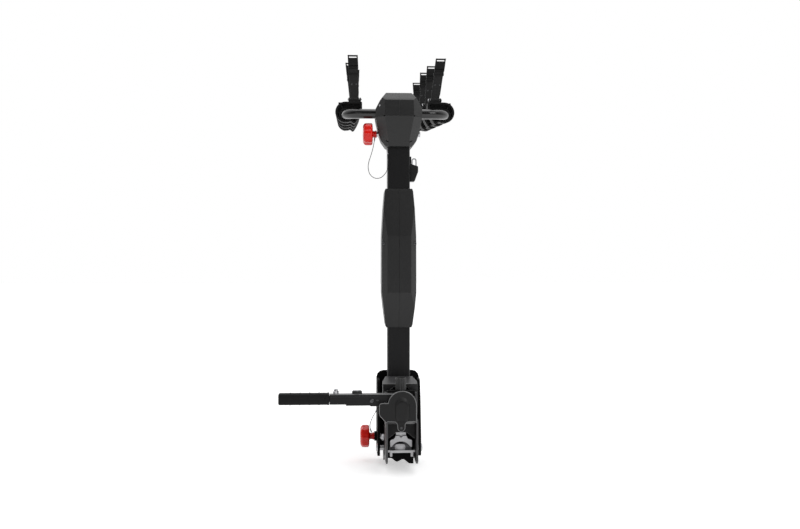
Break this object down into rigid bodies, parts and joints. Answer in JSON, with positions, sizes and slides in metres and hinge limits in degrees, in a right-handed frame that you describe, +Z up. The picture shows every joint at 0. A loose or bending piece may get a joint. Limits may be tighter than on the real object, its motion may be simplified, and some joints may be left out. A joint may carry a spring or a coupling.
{
  "type": "hanging bike rack for a tow ball",
  "caption": "Hanging bike rack: a lever clamp grips a tow ball and carries a tilting mast, whose folding arms hold bikes in rubber cradles with straps.",
  "frame": {"origin": "centre of the tow ball that the clamp grips", "axes": "+Z up along the mast, +Y away from the car along the arms, +X to the right seen from the car"},
  "size_m": [0.3939, 0.8043, 0.9822],
  "materials": {
    "black_steel": "satin black coating",
    "satin_black": "satin black coating",
    "black_plastic": "moulded black plastic",
    "gloss_black": "gloss black coating",
    "soft_black": "black rubber",
    "bright_steel": "zinc plated",
    "red_plastic": "bright red moulding"
  },
  "bodies": {
    "coupler": {"coupler_plate_left": "black_steel", "coupler_plate_right": "black_steel", "coupler_bridge": "black_steel", "coupler_web": "black_steel", "coupler_back": "black_steel", "jaw_guide": "satin_black", "ball_seat": "bright_steel", "neck_guide": "bright_steel", "clamp_cover": "black_plastic", "cross_bolt": "bright_steel", "lever_pivot": "bright_steel", "tilt_bolt": "black_steel"},
    "jaw": {"upper_jaw": "bright_steel"},
    "adjuster": {"adjuster": "black_plastic"},
    "lever": {"lever_arm": "black_steel", "lever_grip": "soft_black", "lever_nut": "bright_steel", "lever_lock": "bright_steel", "lever_screw": "bright_steel"},
    "mast": {"foot_bracket": "black_steel", "foot_hood": "black_plastic", "mast_lower": "satin_black", "mast_upper": "satin_black", "mast_splice": "black_steel", "foot_bolt": "black_steel", "mid_cover_left": "black_plastic", "mid_cover_right": "black_plastic", "head_cheek_left": "black_steel", "head_cheek_right": "black_steel", "head_cover_upper": "black_plastic", "head_cover_lower": "black_plastic", "cable_anchor": "black_plastic", "anchor_bail": "bright_steel", "upper_lanyard": "bright_steel", "lower_lanyard": "bright_steel"},
    "upper_lock": {"upper_lock_knob": "red_plastic", "upper_lock_pin": "bright_steel"},
    "lower_lock": {"lower_lock_knob": "red_plastic", "lower_lock_pin": "bright_steel"},
    "arms": {"arm_hub": "bright_steel", "arm_left": "gloss_black", "arm_right": "gloss_black", "arm_cap_left": "soft_black", "arm_cap_right": "soft_black", "cradle_left_1": "soft_black", "cradle_left_2": "soft_black", "cradle_left_3": "soft_black", "cradle_left_4": "soft_black", "cradle_right_1": "soft_black", "cradle_right_2": "soft_black", "cradle_right_3": "soft_black", "cradle_right_4": "soft_black"},
    "strap_left_1": {"strap_left_1": "soft_black"},
    "strap_left_2": {"strap_left_2": "soft_black"},
    "strap_left_3": {"strap_left_3": "soft_black"},
    "strap_left_4": {"strap_left_4": "soft_black"},
    "strap_right_1": {"strap_right_1": "soft_black"},
    "strap_right_2": {"strap_right_2": "soft_black"},
    "strap_right_3": {"strap_right_3": "soft_black"},
    "strap_right_4": {"strap_right_4": "soft_black"}
  },
  "joints": [
    {"name": "lever_swing", "type": "hinge", "parent": "coupler", "child": "lever", "pos_m": [0, -0.036, 0.107], "axis": [0, 1, 0], "range_deg": [0, 85]},
    {"name": "jaw_lift", "type": "slide", "parent": "coupler", "child": "jaw", "axis": [0, 0, 1], "range_m": [0, 0.008]},
    {"name": "adjuster_turn", "type": "hinge", "parent": "coupler", "child": "adjuster", "pos_m": [0, -0.002, 0.1313], "axis": [0, 0, 1], "continuous": true},
    {"name": "mast_tilt", "type": "hinge", "parent": "coupler", "child": "mast", "pos_m": [0, 0.06, -0.004], "axis": [-1, 0, 0], "range_deg": [0, 40]},
    {"name": "upper_pin_pull", "type": "slide", "parent": "mast", "child": "upper_lock", "axis": [1, 0, 0], "range_m": [-0.03, 0], "deforming": ["upper_lanyard"]},
    {"name": "lower_pin_pull", "type": "slide", "parent": "mast", "child": "lower_lock", "axis": [1, 0, 0], "range_m": [-0.03, 0], "deforming": ["lower_lanyard"]},
    {"name": "arms_fold", "type": "hinge", "parent": "mast", "child": "arms", "pos_m": [0, 0.098, 0.743], "axis": [-1, 0, 0], "range_deg": [0, 95]},
    {"name": "strap_left_1_swing", "type": "hinge", "parent": "arms", "child": "strap_left_1", "pos_m": [-0.098, 0.147, 0.78385], "axis": [-1, 0, 0], "range_deg": [0, 85]},
    {"name": "strap_left_2_swing", "type": "hinge", "parent": "arms", "child": "strap_left_2", "pos_m": [-0.098, 0.31607, 0.80162], "axis": [-1, 0, 0], "range_deg": [0, 85]},
    {"name": "strap_left_3_swing", "type": "hinge", "parent": "arms", "child": "strap_left_3", "pos_m": [-0.098, 0.48514, 0.81939], "axis": [-1, 0, 0], "range_deg": [0, 85]},
    {"name": "strap_left_4_swing", "type": "hinge", "parent": "arms", "child": "strap_left_4", "pos_m": [-0.098, 0.65421, 0.83716], "axis": [-1, 0, 0], "range_deg": [0, 85]},
    {"name": "strap_right_1_swing", "type": "hinge", "parent": "arms", "child": "strap_right_1", "pos_m": [0.088, 0.147, 0.78385], "axis": [-1, 0, 0], "range_deg": [0, 85]},
    {"name": "strap_right_2_swing", "type": "hinge", "parent": "arms", "child": "strap_right_2", "pos_m": [0.088, 0.31607, 0.80162], "axis": [-1, 0, 0], "range_deg": [0, 85]},
    {"name": "strap_right_3_swing", "type": "hinge", "parent": "arms", "child": "strap_right_3", "pos_m": [0.088, 0.48514, 0.81939], "axis": [-1, 0, 0], "range_deg": [0, 85]},
    {"name": "strap_right_4_swing", "type": "hinge", "parent": "arms", "child": "strap_right_4", "pos_m": [0.088, 0.65421, 0.83716], "axis": [-1, 0, 0], "range_deg": [0, 85]}
  ],
  "couplings": [
    {"joint": "jaw_lift", "follows": "lever_swing", "m_per_rad": 0.0053925}
  ]
}
